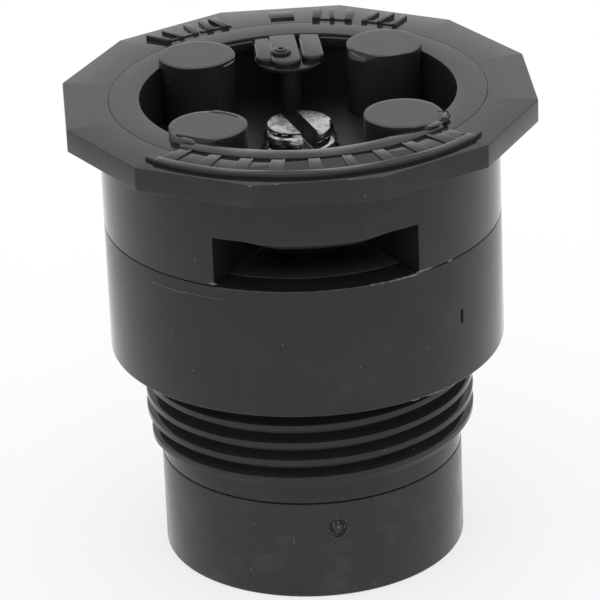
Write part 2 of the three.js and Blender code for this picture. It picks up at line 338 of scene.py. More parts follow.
class Nodes:
    """Short way to write a node material in millimetre coordinates."""

    def __init__(self, name):
        self.material = bpy.data.materials.new(name)
        self.material.use_nodes = True
        self.tree = self.material.node_tree
        self.tree.nodes.clear()
        self.output = self.add("ShaderNodeOutputMaterial")
        coordinates = self.add("ShaderNodeTexCoord")
        self.mm = self.math_vector("SCALE", coordinates.outputs["Object"], scale=1 / MM)

    def add(self, kind, **settings):
        node = self.tree.nodes.new(kind)
        for key, value in settings.items():
            setattr(node, key, value)
        return node

    def link(self, source, target):
        self.tree.links.new(source, target)

    def put(self, target, value):
        if isinstance(value, bpy.types.NodeSocket):
            self.link(value, target)
        else:
            target.default_value = value

    def math_vector(self, operation, a, b=None, scale=None):
        node = self.add("ShaderNodeVectorMath", operation=operation)
        self.put(node.inputs[0], a)
        if b is not None:
            self.put(node.inputs[1], b)
        if scale is not None:
            self.put(node.inputs["Scale"], scale)
        return node.outputs[0]

    def math(self, operation, a, b=0.0, c=0.0, clamp=False):
        node = self.add("ShaderNodeMath", operation=operation, use_clamp=clamp)
        for target, value in zip(node.inputs, (a, b, c)):
            self.put(target, value)
        return node.outputs[0]

    def math_length(self, vector):
        node = self.add("ShaderNodeVectorMath", operation="LENGTH")
        self.put(node.inputs[0], vector)
        return node.outputs["Value"]

    def noise(self, scale, detail=3.0, rough=0.5, stretch=(1, 1, 1), seed=0.0):
        vector = self.math_vector("MULTIPLY", self.mm, stretch)
        vector = self.math_vector("ADD", vector, (seed, seed * 1.7, seed * 0.6))
        node = self.add("ShaderNodeTexNoise")
        self.put(node.inputs["Vector"], vector)
        node.inputs["Scale"].default_value = scale
        node.inputs["Detail"].default_value = detail
        node.inputs["Roughness"].default_value = rough
        return node.outputs["Fac"]

    def cells(self, scale, seed=0.0):
        vector = self.math_vector("ADD", self.mm, (seed, seed * 2.3, seed * 0.7))
        node = self.add("ShaderNodeTexVoronoi")
        self.put(node.inputs["Vector"], vector)
        node.inputs["Scale"].default_value = scale
        return node

    def spread(self, value, low, high, to_low=0.0, to_high=1.0):
        node = self.add("ShaderNodeMapRange", interpolation_type="SMOOTHSTEP")
        self.put(node.inputs["Value"], value)
        for key, number in (("From Min", low), ("From Max", high), ("To Min", to_low), ("To Max", to_high)):
            self.put(node.inputs[key], number)
        return node.outputs["Result"]

    def mix(self, share, a, b):
        node = self.add("ShaderNodeMix", data_type="RGBA")
        self.put(node.inputs[0], share)
        self.put(node.inputs[6], a)
        self.put(node.inputs[7], b)
        return node.outputs[2]

    def bump(self, height, distance, strength=1.0, normal=None):
        node = self.add("ShaderNodeBump")
        self.put(node.inputs["Height"], height)
        node.inputs["Distance"].default_value = distance * MM
        node.inputs["Strength"].default_value = strength
        if normal:
            self.link(normal, node.inputs["Normal"])
        return node.outputs["Normal"]

    def finish(self, **sockets):
        shader = self.add("ShaderNodeBsdfPrincipled")
        for key, value in sockets.items():
            self.put(shader.inputs[key.replace("_", " ")], value)
        self.link(shader.outputs[0], self.output.inputs["Surface"])
        return self.material


def specks(n, share, scale, seed, size=0.07):
    """Rare small dust marks: 0 almost everywhere and 1 on a mark."""
    cells = n.cells(scale, seed)
    parts = n.add("ShaderNodeSeparateColor")
    n.link(cells.outputs["Color"], parts.inputs[0])
    chosen = n.math("LESS_THAN", parts.outputs[0], share)
    return n.math("MULTIPLY", chosen, n.spread(cells.outputs["Distance"], size * 0.5, size, 1.0, 0.0))


def moulded_plastic(name, colour, roughness, grain, grain_scale, dust=0.02, seed=0.0, wear=0.06, bloom=0.02,
                    scar=None):
    """Black moulded plastic: slow ripples, fine grain, rubbed patches, dust, film and hairline scratches.

    scar gives the (x, y, z, radius) of a trimmed moulding gate.
    """
    n = Nodes(name)
    normal = n.bump(n.noise(0.35, 3, 0.5, seed=seed), 0.008)
    normal = n.bump(n.noise(grain_scale, 4, 0.6, seed=seed + 3), grain, normal=normal)
    scratch = n.noise(2.2, 2, 0.4, stretch=(1, 1, 9), seed=seed + 8)
    line = n.spread(n.math("ABSOLUTE", n.math("SUBTRACT", scratch, 0.5)), 0.0, 0.006, 1.0, 0.0)
    line = n.math("MULTIPLY", line, n.spread(n.noise(0.5, 2, 0.5, seed=seed + 11), 0.58, 0.72))
    normal = n.bump(line, -0.003, 0.5, normal=normal)
    patch = n.spread(n.noise(0.8, 5, 0.65, seed=seed + 5), 0.42, 0.72)
    spots = n.math("MAXIMUM", specks(n, dust, 1.9, seed + 2), specks(n, dust * 1.5, 3.4, seed + 6, 0.12))
    haze = n.spread(n.noise(0.45, 4, 0.6, seed=seed + 14), 0.5, 0.72, 0.35, 1.0)
    film = n.math("MULTIPLY", n.math("MULTIPLY", n.noise(5, 6, 0.75, seed=seed + 21), haze), bloom)
    gloss = 0.5
    if scar:
        away = n.math_vector("SUBTRACT", n.mm, scar[:3])
        reach = n.math_length(away)
        rough_edge = n.math("ADD", reach, n.math("MULTIPLY", n.noise(3, 4, 0.7, seed=seed + 30), 0.35))
        rim = n.math("ABSOLUTE", n.math("SUBTRACT", rough_edge, scar[3] + 0.12))
        crater = n.spread(rim, 0.03, 0.14, 1.0, 0.0)
        normal = n.bump(crater, -0.14, normal=normal)
        gloss = n.math("MULTIPLY_ADD", crater, -0.42, 0.5)
        inside = n.spread(reach, scar[3] * 0.7, scar[3] * 1.7, 1.0, 0.0)
        flecks = n.spread(n.noise(9, 3, 0.7, seed=seed + 33), 0.6, 0.68)
        film = n.math("ADD", film, n.math("MULTIPLY", n.math("MULTIPLY", inside, flecks), 0.35))
    rough = n.math("ADD", roughness, n.math("MULTIPLY", patch, wear))
    dulled = n.math("MULTIPLY", n.math("MAXIMUM", line, spots), 0.25)
    rough = n.math("ADD", rough, dulled, clamp=True)
    tone = n.mix(film, (*colour, 1), (0.8, 0.82, 0.86, 1))
    tone = n.mix(n.math("MULTIPLY", spots, 0.3), tone, (0.6, 0.6, 0.58, 1))
    return n.finish(Base_Color=tone, Roughness=rough, IOR=PLASTIC_IOR, Specular_IOR_Level=gloss,
                    Normal=normal)


def machined_steel(name, roughness, lines, seed=0.0, bright=(0.5, 0.49, 0.48), dull=(0.16, 0.155, 0.15)):
    """Bright steel with turning marks round its axis and small scuffs."""
    n = Nodes(name)
    marks = n.noise(3, 4, 0.6, stretch=(0.25, 0.25, lines), seed=seed)
    scuff = n.spread(n.noise(1.5, 5, 0.65, seed=seed + 4), 0.4, 0.66)
    pits = specks(n, 0.25, 5.0, seed + 6)
    normal = n.bump(marks, 0.005)
    normal = n.bump(n.noise(9, 3, 0.6, seed=seed + 9), 0.006, normal=normal)
    normal = n.bump(pits, -0.02, normal=normal)
    tone = n.mix(scuff, (*bright, 1), (*dull, 1))
    return n.finish(Base_Color=tone, Metallic=1.0,
                    Roughness=n.math("ADD", roughness, n.math("MULTIPLY", scuff, 0.18)), Normal=normal)


def moulded_rubber(name, colour, seed=0.0):
    """Soft rubber: fine bloom, talc-grey patches and a matt grain."""
    n = Nodes(name)
    bloom = n.spread(n.noise(1.2, 5, 0.65, seed=seed), 0.4, 0.8)
    grain = n.noise(14, 4, 0.7, seed=seed + 3)
    tone = n.mix(n.math("MULTIPLY", bloom, 0.12), (*colour, 1), (0.3, 0.29, 0.28, 1))
    normal = n.bump(grain, 0.012, normal=n.bump(n.noise(0.6, 2, 0.5, seed=seed + 5), 0.05))
    return n.finish(Base_Color=tone, Roughness=n.math("ADD", 0.6, n.math("MULTIPLY", bloom, 0.25)),
                    IOR=1.5, Normal=normal)


gate = (*polar(COLLAR_R, GATE_ANGLE), GATE_Z, GATE_R)
cap_plastic = moulded_plastic("cap_plastic", (0.0135, 0.0135, 0.0148), 0.06, 0.0015, 12, seed=1.0)
base_plastic = moulded_plastic("base_plastic", (0.0135, 0.0135, 0.0148), 0.08, 0.0018, 12, seed=4.0)
collar_plastic = moulded_plastic("collar_plastic", (0.0145, 0.0145, 0.0155), 0.16, 0.008, 7,
                                 dust=0.05, seed=7.0, wear=0.1, bloom=0.05, scar=gate)
well_plastic = moulded_plastic("well_plastic", (0.013, 0.013, 0.014), 0.34, 0.004, 9, 0.02, 22.0, 0.1, 0.01)
matt_plastic = moulded_plastic("matt_plastic", (0.007, 0.007, 0.0075), 0.5, 0.004, 9, 0.0, 23.0, 0.1, 0.0)
# Lighter plastic for the scuff under the seam, and for a painted highlight along the spray window's bottom
# lip.
scuff_and_highlight_plastic = moulded_plastic("scuff_and_highlight_plastic", (0.028, 0.028, 0.03), 0.3, 0.02, 7, 0.0, 27.0, 0.2, 0.08)
# Light grey for flash and burrs, and for a painted highlight along the spray window's bottom lip.
flash_and_highlight_plastic = moulded_plastic("flash_and_highlight_plastic", (0.07, 0.07, 0.075), 0.3, 0.02, 5, 0.1, 25.0, 0.2, 0.25)
# Rougher and lighter than the cap's plastic; the lighter colour is painted light that lifts the dark inside
# seen through the spray window.
inner_plastic = moulded_plastic("inner_plastic", (0.035, 0.035, 0.036), 0.4, 0.003, 10, seed=12.0)
plug_plastic = moulded_plastic("plug_plastic", (0.62, 0.60, 0.54), 0.3, 0.003, 10, dust=0.0, seed=15.0)
rubber = moulded_rubber("rubber", (0.03, 0.018, 0.015), seed=2.0)
seal_rubber = moulded_rubber("seal_rubber", (0.01, 0.01, 0.01), seed=5.0)
screw_steel = machined_steel("screw_steel", 0.12, 6, seed=3.0)
slot_steel = machined_steel("slot_steel", 0.34, 1, 6.0, (0.2, 0.195, 0.19), (0.07, 0.068, 0.065))
screen_steel = machined_steel("screen_steel", 0.2, 2, seed=9.0)

# ---- Nozzle cap ----


def cap_shell():
    """Wall, roof and hub of the cap, with the spray window cut through the wall."""
    bm = bmesh.new()
    outline = [
        (WELL_R, SEAM_Z, 0.05),
        (SHELL_R, SEAM_Z, 0.03),
        (SHELL_R, FLANGE_BOTTOM + 0.4, 0),
        (RING_GROOVE_R - RING_GROOVE_HALF, FLANGE_BOTTOM + 0.4, 0),
        (RING_GROOVE_R - RING_GROOVE_HALF, FLANGE_TOP, 0.015),
        (WELL_R, FLANGE_TOP, 0.06),
        (WELL_R, WELL_FLOOR, 0.03),
        (SCREW_R + RUNNING_GAP, WELL_FLOOR, 0.1),
        (SCREW_R + RUNNING_GAP, SEAL_TOP, 0.03),
        (SEAL_R, SEAL_TOP, 0.05),
        (SEAL_R, SEAM_Z, 0.05),
        (HUB_R, SEAM_Z, 0.05),
        (HUB_R, ROOF_Z, 0.03),
        (WELL_R, ROOF_Z, 0.03),
    ]
    turned(bm, softened(outline, 0.05), 192)
    return bm


def flange_ring(bm):
    """Twelve-sided rim with rounded edges, outside the fine ring groove."""
    circum = FLANGE_HALF / math.cos(math.pi / FLANGE_SIDES)
    turns = [(i + 0.5) * TAU / FLANGE_SIDES for i in range(FLANGE_SIDES)]
    corners = softened([(circum * math.cos(a), circum * math.sin(a)) for a in turns], 0.08)
    outer = []
    for i, corner in enumerate(corners):
        after = corners[(i + 1) % len(corners)]
        parts = 6 if (after - corner).length > 1 else 1
        outer += [corner.lerp(after, k / parts) for k in range(parts)]
    curve = rounding(0.05, 3)
    levels = [(FLANGE_BOTTOM + rise, inset) for rise, inset in curve]
    levels += [(FLANGE_TOP - rise, inset) for rise, inset in curve[::-1]]
    rings = []
    for z, inset in levels:
        scale = (1 - inset / FLANGE_HALF) * MM
        rings.append([bm.verts.new((p.x * scale, p.y * scale, z * MM)) for p in outer])
    groove = RING_GROOVE_R + RING_GROOVE_HALF
    for r, z in ((groove + 0.02, FLANGE_TOP), (groove, FLANGE_TOP - 0.02), (groove, FLANGE_BOTTOM)):
        around = [p.normalized() * r * MM for p in outer]
        rings.append([bm.verts.new((p.x, p.y, z * MM)) for p in around])
    rings.append(rings[0])
    join_rings(bm, rings)


def post(bm, x, y, bumps, chips):
    """Round post, its top cut off with a knife: burrs lean out of the rim and chips are cut from it."""
    rim = POST_TOP - POST_TRIM
    outline = [(0, WELL_FLOOR - 0.2), (POST_R, WELL_FLOOR - 0.2)]
    outline += [(POST_R, POST_TOP - drop) for drop in POST_ROWS]
    outline += [(POST_R - 0.01, POST_TOP - 0.08), (POST_R - 0.04, rim - 0.01)]
    outline += [(POST_R - 0.08, rim), (POST_R - 0.25, rim), (0.0, rim)]
    start, first = len(bm.verts), len(bm.faces)

    def shape(r, z, angle):
        if z < WELL_FLOOR + 0.1:
            return r, z
        lift = max(0.0, min(1.0, (z - 22.8) / 0.6))
        for at, size, width in bumps:
            away = (angle - math.radians(at) + math.pi) % TAU - math.pi
            bell = math.exp(-((away / math.radians(width)) ** 2))
            if r > 1.0:
                r += size * bell * lift * lift
        ragged = noise.noise(Vector((x + 3 * math.cos(angle), y + 3 * math.sin(angle), z * 2)))
        if r > 1.5:
            r += 0.025 * ragged * lift
        for at, distance, slope in chips:
            away = (angle - math.radians(at) + math.pi) % TAU - math.pi
            if abs(away) > 1.3:
                continue
            limit = distance + (POST_TOP - z) * slope
            if r * math.cos(away) > limit:
                r = limit / math.cos(away)
        return r, z

    turned(bm, outline, 72, shape)
    bm.verts.ensure_lookup_table()
    bm.faces.ensure_lookup_table()
    for face in bm.faces[first:]:
        if face.calc_center_median().z < (rim - 0.08) * MM:
            face.material_index = 2
    for vert in bm.verts[start:]:
        vert.co.x += x * MM
        vert.co.y += y * MM


FLAKE_SECTION = ((1, 0), (0.6, 1), (-0.6, 1), (-1, 0), (-0.6, -1), (0.6, -1))


def flake(bm, points, wide, thick, seed, material=1):
    """Thin ragged sliver of flash along a line of (x, y, z) points."""
    rng = random.Random(seed)
    rings = []
    last = len(points) - 1
    for k, point in enumerate(points):
        here = Vector(point)
        along = (Vector(points[min(k + 1, last)]) - Vector(points[max(k - 1, 0)])).normalized()
        side = along.cross(Vector((0, 0, 1)))
        side = side.normalized() if side.length > 1e-3 else Vector((1, 0, 0))
        taper = 0.15 if k in (0, last) else rng.uniform(0.6, 1.2)
        a, b = side * wide * taper / 2, side.cross(along) * thick * taper / 2
        rings.append([bm.verts.new((here + a * u + b * v) * MM) for u, v in FLAKE_SECTION])
    ends = [bm.faces.new(rings[0][::-1]), bm.faces.new(rings[-1])]
    for face in ends + join_rings(bm, rings):
        face.material_index = material


def on_circle(radius, start, end, count, z, centre=(0, 0)):
    return [(x, y, z) for x, y in arc(radius, start, end, count, centre)]


def relief(bm):
    """Pocketed band round the front of the flange and groups of short bars round its back."""
    top = FLANGE_TOP + RELIEF_HIGH
    low = FLANGE_TOP - 0.1
    rng = random.Random(5)
    first = -90 - (POCKETS - 1) / 2 * POCKET_STEP
    slab(bm, sector(BAND_INNER, POCKET_INNER, BAND_START, BAND_END, 48), low, top, 0.03)
    slab(bm, sector(POCKET_OUTER, BAND_OUTER, BAND_START, BAND_END, 48), low, top - 0.01, 0.03)
    pocket_floor = sector(POCKET_INNER - 0.05, POCKET_OUTER + 0.05, BAND_START, BAND_END, 48)
    slab(bm, pocket_floor, low, top - POCKET_DEEP, 0.01)
    for i in range(POCKETS + 1):
        middle = first + (i - 0.5) * POCKET_STEP
        start = max(BAND_START, middle - POCKET_STEP / 2 + POCKET_HALF + rng.uniform(-0.5, 0.5))
        end = min(BAND_END, middle + POCKET_STEP / 2 - POCKET_HALF + rng.uniform(-0.5, 0.5))
        slab(bm, sector(POCKET_INNER - 0.05, POCKET_OUTER + 0.05, start, end, 4), low, top - 0.02, 0.03)
    for end, way in ((BAND_START, -1), (BAND_END, 1)):
        points = [polar(BAND_OUTER - 0.05, end - way), polar(BAND_OUTER - 0.15, end + 3.2 * way),
                  polar(BAND_OUTER - 0.8, end - way)]
        slab(bm, points if way > 0 else points[::-1], low, top - 0.05, 0.05)
    for at in BARS_AT:
        half = BAR_HALF + rng.uniform(-0.2, 0.3)
        lean = rng.uniform(-1.6, 1.6)
        points = [polar(r, a) for r, a in ((BAR_OUTER, at - half + lean), (BAR_OUTER, at + half + lean),
                                           (BAR_INNER, at + half), (BAR_INNER, at - half))]
        slab(bm, points, low, FLANGE_TOP + rng.uniform(*BAR_HIGH), 0.03)
    slab(bm, sector(9.45, 10.3, 86.5, 93.5, 6), low, FLANGE_TOP + BAR_HIGH[0], 0.03)
    for start, end, outer in ((106, 116, 9.45), (119, 129, 9.4), (71, 79, 9.4), (56, 65, 9.45)):
        slab(bm, sector(BAR_INNER + 0.05, outer, start, end, 12), low, FLANGE_TOP + BAR_HIGH[0] - 0.04, 0.03)


def boss(bm):
    """Round-ended tongue at the back of the well: a thin plate, three rounded lobes and a button."""
    root = WELL_R + 0.2
    low = FLANGE_TOP - BOSS_THICK
    tongue = [(BOSS_HALF, root), (-BOSS_HALF, root)] + arc(BOSS_HALF, 180, 360, 24, (0, BOSS_Y))
    slab(bm, tongue, low, low + 0.2, 0.06, 3)
    for middle, half, front, drop in BOSS_LOBES:
        lobe = [(middle + half, root), (middle - half, root)] + arc(half, 180, 360, 16, (middle, front))
        slab(bm, lobe, low + 0.1, FLANGE_TOP - drop, 0.12, 4)
    button = arc(0.5, 0, 345, 23, (BUTTON_X, BUTTON_Y))
    slab(bm, button, FLANGE_TOP - 0.1, FLANGE_TOP + 0.14, 0.08, 3)
    start = len(bm.verts)
    top = FLANGE_TOP + 0.2
    ring = [(0.12, FLANGE_TOP), (0.3, FLANGE_TOP), (0.3, top), (0.12, top)]
    turned(bm, softened(ring, 0.04), 24)
    bm.verts.ensure_lookup_table()
    for vert in bm.verts[start:]:
        vert.co.x += BUTTON_X * MM
        vert.co.y += BUTTON_Y * MM
    rib = [(RIB_HALF, root), (-RIB_HALF, root)] + arc(RIB_HALF, 180, 360, 10, (0, RIB_Y))
    slab(bm, rib, WELL_FLOOR - 0.2, low + 0.1, 0.05)


def cap_features(bm):
    """Everything moulded onto the cap's shell."""
    flange_ring(bm)
    relief(bm)
    boss(bm)
    near, far = -POST_OFFSET, POST_OFFSET
    post(bm, near, near, [(20, 0.04, 30)], [(-122, 1.38, 0.9), (-165, 1.66, 0.7)])
    post(bm, far, near, [(-40, 0.18, 24), (-75, 0.05, 10), (-8, 0.1, 12)], [(95, 1.74, 0.6)])
    post(bm, near, far, [(-20, 0.08, 14), (-110, 0.04, 40)], [(170, 1.72, 0.6)])
    post(bm, far, far, [(-45, 0.08, 16)], [(-138, 1.52, 0.8)])
    rim = POST_TOP - 0.03
    flake(bm, on_circle(POST_R - 0.14, 84, 30, 9, rim - 0.03, (near, near)), 0.14, 0.09, 1)
    flake(bm, on_circle(POST_R - 0.02, -170, -110, 8, rim - 0.24, (near, near)), 0.16, 0.4, 2)
    flake(bm, on_circle(POST_R + 0.06, -70, 2, 12, rim - 0.25, (far, near)), 0.6, 0.4, 3, 0)
    flake(bm, on_circle(POST_R + 0.2, -62, -38, 6, rim - 0.08, (far, near)), 0.3, 0.16, 11)
    flake(bm, on_circle(POST_R + 0.16, -26, -6, 6, rim - 0.06, (far, near)), 0.22, 0.14, 12)
    flake(bm, on_circle(POST_R + 0.03, -50, -12, 6, rim - 0.2, (near, far)), 0.16, 0.14, 4)
    flake(bm, on_circle(POST_R - 0.02, -100, -60, 6, rim - 0.03, (far, far)), 0.06, 0.05, 5)
    flake(bm, on_circle(POST_R - 0.02, -168, -118, 6, rim - 0.3, (far, far)), 0.12, 0.3, 6)
    for start, end in ((103, 115), (65, 77)):
        ledge = sector(WELL_R - 0.28, WELL_R + 0.1, start, end, 10)
        slab(bm, ledge, WELL_FLOOR + 2.3, FLANGE_TOP - 0.12, 0.03)
    for side in (-1, 1):
        middle = -90 + side * (WINDOW_HALF + WEB_HALF)
        web = sector(HUB_R - 0.1, WELL_R + 0.1, middle - WEB_HALF, middle + WEB_HALF, 6)
        slab(bm, web, SEAM_Z + 0.01, ROOF_Z + 0.1, 0.03)
    deflector_lip(bm)
    edge = SHELL_R - 0.01
    flake(bm, on_circle(edge, -61, -55, 7, SEAM_Z + 0.03), 0.05, 0.12, 8)
    flake(bm, on_circle(edge, -49.5, -47.5, 4, SEAM_Z), 0.06, 0.12, 9)
    flake(bm, on_circle(edge, -122, -119, 3, SEAM_Z + 0.1), 0.04, 0.1, 10)
    front = -FLANGE_HALF + 0.04
    for k, (start, end, z) in enumerate(((-3.1, -2.9, FLANGE_TOP - 0.02), (-2.5, -1.6, FLANGE_TOP - 0.03),
                                         (1.3, 2.3, FLANGE_TOP - 0.02), (-2.3, -2.1, FLANGE_BOTTOM + 0.03))):
        flake(bm, [(start + (end - start) * i / 5, front, z) for i in range(6)], 0.06, 0.07, 40 + k)
    inner_faces(bm)


def inner_faces(bm):
    """The well is duller than the outside, and the spray chamber is matt."""
    for face in bm.faces:
        middle = face.calc_center_median() / MM
        reach = math.hypot(middle.x, middle.y)
        if reach < SHELL_R - 0.05 and middle.z < WELL_FLOOR - 0.1:
            face.material_index = 3
        elif reach < WELL_R + 0.02 and middle.z < FLANGE_TOP - 0.6 and face.material_index == 0:
            face.material_index = 2


def deflector_lip(bm):
    """Soft rounded lip that hangs from the top edge of the spray window and fades out at its sides."""
    half, steps, sides = 24, 40, 8
    rows = []
    for k in range(steps + 1):
        share = k / steps
        angle = math.radians(-90 + half * (2 * share - 1))
        drop = 0.5 * smooth_step(min(share, 1 - share) * 3.2) + 0.01
        row = []
        for i in range(sides + 1):
            t = i / sides * math.pi / 2
            r = SHELL_R - 0.004 - 1.1 * drop * (1 - math.cos(t))
            row.append(bm.verts.new((r * math.cos(angle) * MM, r * math.sin(angle) * MM,
                                     (ROOF_Z + 0.02 - drop * math.sin(t)) * MM)))
        r = SHELL_R - 1.3 * drop - 0.3
        row.append(bm.verts.new((r * math.cos(angle) * MM, r * math.sin(angle) * MM, (ROOF_Z + 0.02) * MM)))
        rows.append(row)
    for a, b in zip(rows, rows[1:]):
        for i in range(len(a) - 1):
            bm.faces.new((a[i], b[i], b[i + 1], a[i + 1]))


def window_cutter():
    bm = bmesh.new()
    outline = arc(SHELL_R + 1, -90 - WINDOW_HALF, -90 + WINDOW_HALF, 40)
    outline += arc(HUB_R + 1, -90 + WINDOW_HALF, -90 - WINDOW_HALF, 20)
    slab(bm, outline, SEAM_Z - 1, ROOF_Z, 0.03)
    return bm


shell = piece("cap_body", cap_shell(), "nozzle_cap",
              materials=[cap_plastic, flash_and_highlight_plastic, well_plastic, matt_plastic])
cut(shell, window_cutter())
extend(shell, cap_features)

# ---- Nozzle base ----


def thread_radius(angle, z):
    around = ((angle - math.radians(THREAD_START_ANGLE)) / TAU) % 1.0
    depth = THREAD_CREST_R - THREAD_ROOT_R
    share = 0.0
    for lap in range(5):
        turn = lap + around
        if turn > THREAD_TURNS:
            continue
        off = z - THREAD_START_Z - turn * THREAD_PITCH
        slope = THREAD_BASE_HALF - THREAD_CREST_HALF
        here = max(0.0, min(1.0, (THREAD_CREST_HALF + slope - abs(off)) / slope))
        here = 0.5 * here + 0.5 * smooth_step(here)
        start = smooth_step(turn * 8)
        end = smooth_step((THREAD_TURNS - turn) * 14)
        share = max(share, here * start * end)
    to_neck = smooth_step((THREAD_START_Z - z) * 2.2)
    return THREAD_ROOT_R + depth * share + (NECK_R - THREAD_ROOT_R) * to_neck


def base_body():
    bm = bmesh.new()
    low, high = THREAD_START_Z - 0.5, SHOULDER_Z - 0.06
    rows = 280
    outline = softened([(NECK_BORE_R, COLLAR_TOP + FIT, 0.05), (NECK_R, COLLAR_TOP + FIT, 0.07),
                        (NECK_R, low, 0)], 0.05, closed=False)
    thread = [Vector((THREAD_ROOT_R, low + (high - low) * k / rows)) for k in range(1, rows)]
    upper = softened([(THREAD_ROOT_R, high, 0), (THREAD_ROOT_R + 0.55, SHOULDER_Z, 0.0),
                      (SHELL_R, SHOULDER_Z, 0.08), (SHELL_R, SEAM_Z - SEAM_GAP, 0.03),
                      (CUP_R, SEAM_Z - SEAM_GAP, 0.06), (CUP_R, CUP_FLOOR, 0.15),
                      (NECK_BORE_R, CUP_FLOOR, 0.1), (NECK_BORE_R, COLLAR_TOP + FIT, 0)], 0.05, closed=False)
    profile = outline[:-1] + [Vector((NECK_R, low))] + thread + upper[:-1]

    def shape(r, z, angle):
        if abs(r - THREAD_ROOT_R) < 0.001 and low < z < high - 0.001:
            return thread_radius(angle, z), z
        return r, z

    turned(bm, profile, 240, shape)
    return bm


def base_flash_and_highlight(bm):
    """Thin flash along the edges of the base and a scuff under the seam; the flash along the spray window's
    bottom lip is coloured light as a painted highlight.
    """
    lip, foot, scuff = SEAM_Z - SEAM_GAP, SHOULDER_Z + 0.03, SEAM_Z - 0.75
    # The three lines at lip run along the spray window's bottom edge; their light colour is a painted
    # highlight.
    for k, (start, end, z, wide, thick, material) in enumerate((
            (-119, -88, lip, 0.07, 0.05, 2), (-92, -64, lip, 0.08, 0.06, 2), (-76, -60, lip, 0.09, 0.08, 1),
            (-64, -61, foot, 0.08, 0.07, 1), (-59, -52, foot, 0.08, 0.06, 1), (-50, -48, foot, 0.08, 0.08, 1),
            (-143, -129, scuff + 0.1, 0.09, 0.1, 2), (-131, -117, scuff + 0.15, 0.08, 0.08, 2))):
        line = on_circle(SHELL_R - 0.01, start, end, max(4, int(end - start)), z)
        flake(bm, line, wide, thick, 20 + k, material)


def nick_cutter():
    """Short upright dent in the base's wall."""
    bm = bmesh.new()
    outline = [polar(SHELL_R + 0.15, NICK_ANGLE - 1), polar(SHELL_R + 0.15, NICK_ANGLE + 1.1),
               polar(SHELL_R - 0.15, NICK_ANGLE + 0.3), polar(SHELL_R - 0.12, NICK_ANGLE - 0.3)]
    slab(bm, outline, NICK_Z - 0.4, NICK_Z + 0.3, 0.02)
    return bm


base = piece("base_body", base_body(), "nozzle_base",
             materials=[base_plastic, flash_and_highlight_plastic, scuff_and_highlight_plastic], sharp=50)
cut(base, nick_cutter())
extend(base, base_flash_and_highlight, 50)

# ---- Inlet end ----


def collar():
    bm = bmesh.new()
    outline = [(COLLAR_BORE_R, 0, 0.12), (COLLAR_R, 0, 0.14), (COLLAR_R, COLLAR_TOP, 0.09),
               (NECK_BORE_R + FIT, COLLAR_TOP, 0.04), (NECK_BORE_R + FIT, SCREEN_LEDGE_Z, 0.03),
               (COLLAR_BORE_R, SCREEN_LEDGE_Z, 0.06)]
    turned(bm, softened(outline, 0.05), 160)
    return bm


def wire(bm, along, across, half, z, radius, phase, pitch):
    """One wire of the woven mesh, which waves over and under its neighbours."""
    sides = 6
    steps = max(8, int(half * 2 / pitch * 6))
    rings = []
    for k in range(steps + 1):
        t = -half + 2 * half * k / steps
        height = z + radius * math.cos(math.pi * t / pitch + phase)
        centre = along * t + across
        ring = []
        for s in range(sides):
            a = TAU * s / sides
            side = Vector((along.y, -along.x))
            ring.append(bm.verts.new(((centre.x + side.x * radius * math.cos(a)) * MM,
                                      (centre.y + side.y * radius * math.cos(a)) * MM,
                                      (height + radius * math.sin(a)) * MM)))
        rings.append(ring)
    join_rings(bm, rings)
    bm.faces.new(rings[0][::-1])
    bm.faces.new(rings[-1])


def screen():
    """Woven strainer in a pressed rim."""
    bm = bmesh.new()
    outer = NECK_BORE_R - FIT
    low = SCREEN_LEDGE_Z + FIT
    inner, high = outer - 0.6, low + 0.33
    turned(bm, softened([(inner, low), (outer, low), (outer, high), (inner, high)], 0.1), 96)
    pitch = 0.55
    radius = 0.08
    count = int(inner / pitch)
    middle = low + 0.17
    for i in range(-count, count + 1):
        offset = i * pitch
        half = math.sqrt(max(0.1, (outer - 0.4) ** 2 - offset ** 2))
        phase = math.pi * (i % 2)
        wire(bm, Vector((1, 0)), Vector((0, offset)), half, middle, radius, phase, pitch)
        wire(bm, Vector((0, 1)), Vector((offset, 0)), half, middle, radius, phase + math.pi, pitch)
    return bm


def seat():
    bm = bmesh.new()
    outer = NECK_BORE_R - FIT
    skirt = SCREEN_LEDGE_Z + 0.35 + 2 * FIT
    under = SEAT_TOP - SEAT_THICK
    wall = outer - SEAT_WALL
    chamfer = 0.3
    outline = [(SEAT_HOLE_R, under, 0.05), (wall, under, 0.1), (wall, skirt, 0.05), (outer, skirt, 0.08),
               (outer, SEAT_TOP, 0.08), (SEAT_HOLE_R + chamfer, SEAT_TOP, 0.06),
               (SEAT_HOLE_R, SEAT_TOP - chamfer, 0.06)]
    turned(bm, softened(outline, 0.05), 96)
    return bm


piece("collar_body", collar(), "inlet_collar", materials=[collar_plastic])
piece("screen_mesh", screen(), "inlet_screen", materials=[screen_steel], sharp=70)
piece("seat_body", seat(), "throttle_seat", materials=[inner_plastic])

# ---- Flow control ----


def orifice():
    bm = bmesh.new()
    top = SEAM_Z - FIT
    outline = [(SCREW_R + RUNNING_GAP, SOCKET_TOP, 0.03), (HUB_R - 0.45, SOCKET_TOP, 0.02),
               (HUB_R - 0.45, SOCKET_BOTTOM, 0.03), (HUB_R, SOCKET_BOTTOM, 0.08), (HUB_R, PLATE_BOTTOM, 0.08),
               (CUP_R - FIT, PLATE_BOTTOM, 0.06), (CUP_R - FIT, top, 0.06),
               (SCREW_R + RUNNING_GAP, top, 0.06)]
    turned(bm, softened(outline, 0.05), 144)
    return bm


def orifice_cutter():
    bm = bmesh.new()
    jet = sector(HUB_R + 0.5, HUB_R + 2, -90 - WINDOW_HALF + 2, -90 + WINDOW_HALF - 2, 24)
    slab(bm, jet, PLATE_BOTTOM - 1, FLANGE_TOP, 0.03)
    return bm


def washer():
    bm = bmesh.new()
    low, high = (corner.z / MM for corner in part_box("compensating_disc"))
    outline = [(HUB_R + 0.2, low), (DISC_R, low), (DISC_R, high), (HUB_R + 0.2, high)]
    turned(bm, softened(outline, 0.16), 96)
    return bm


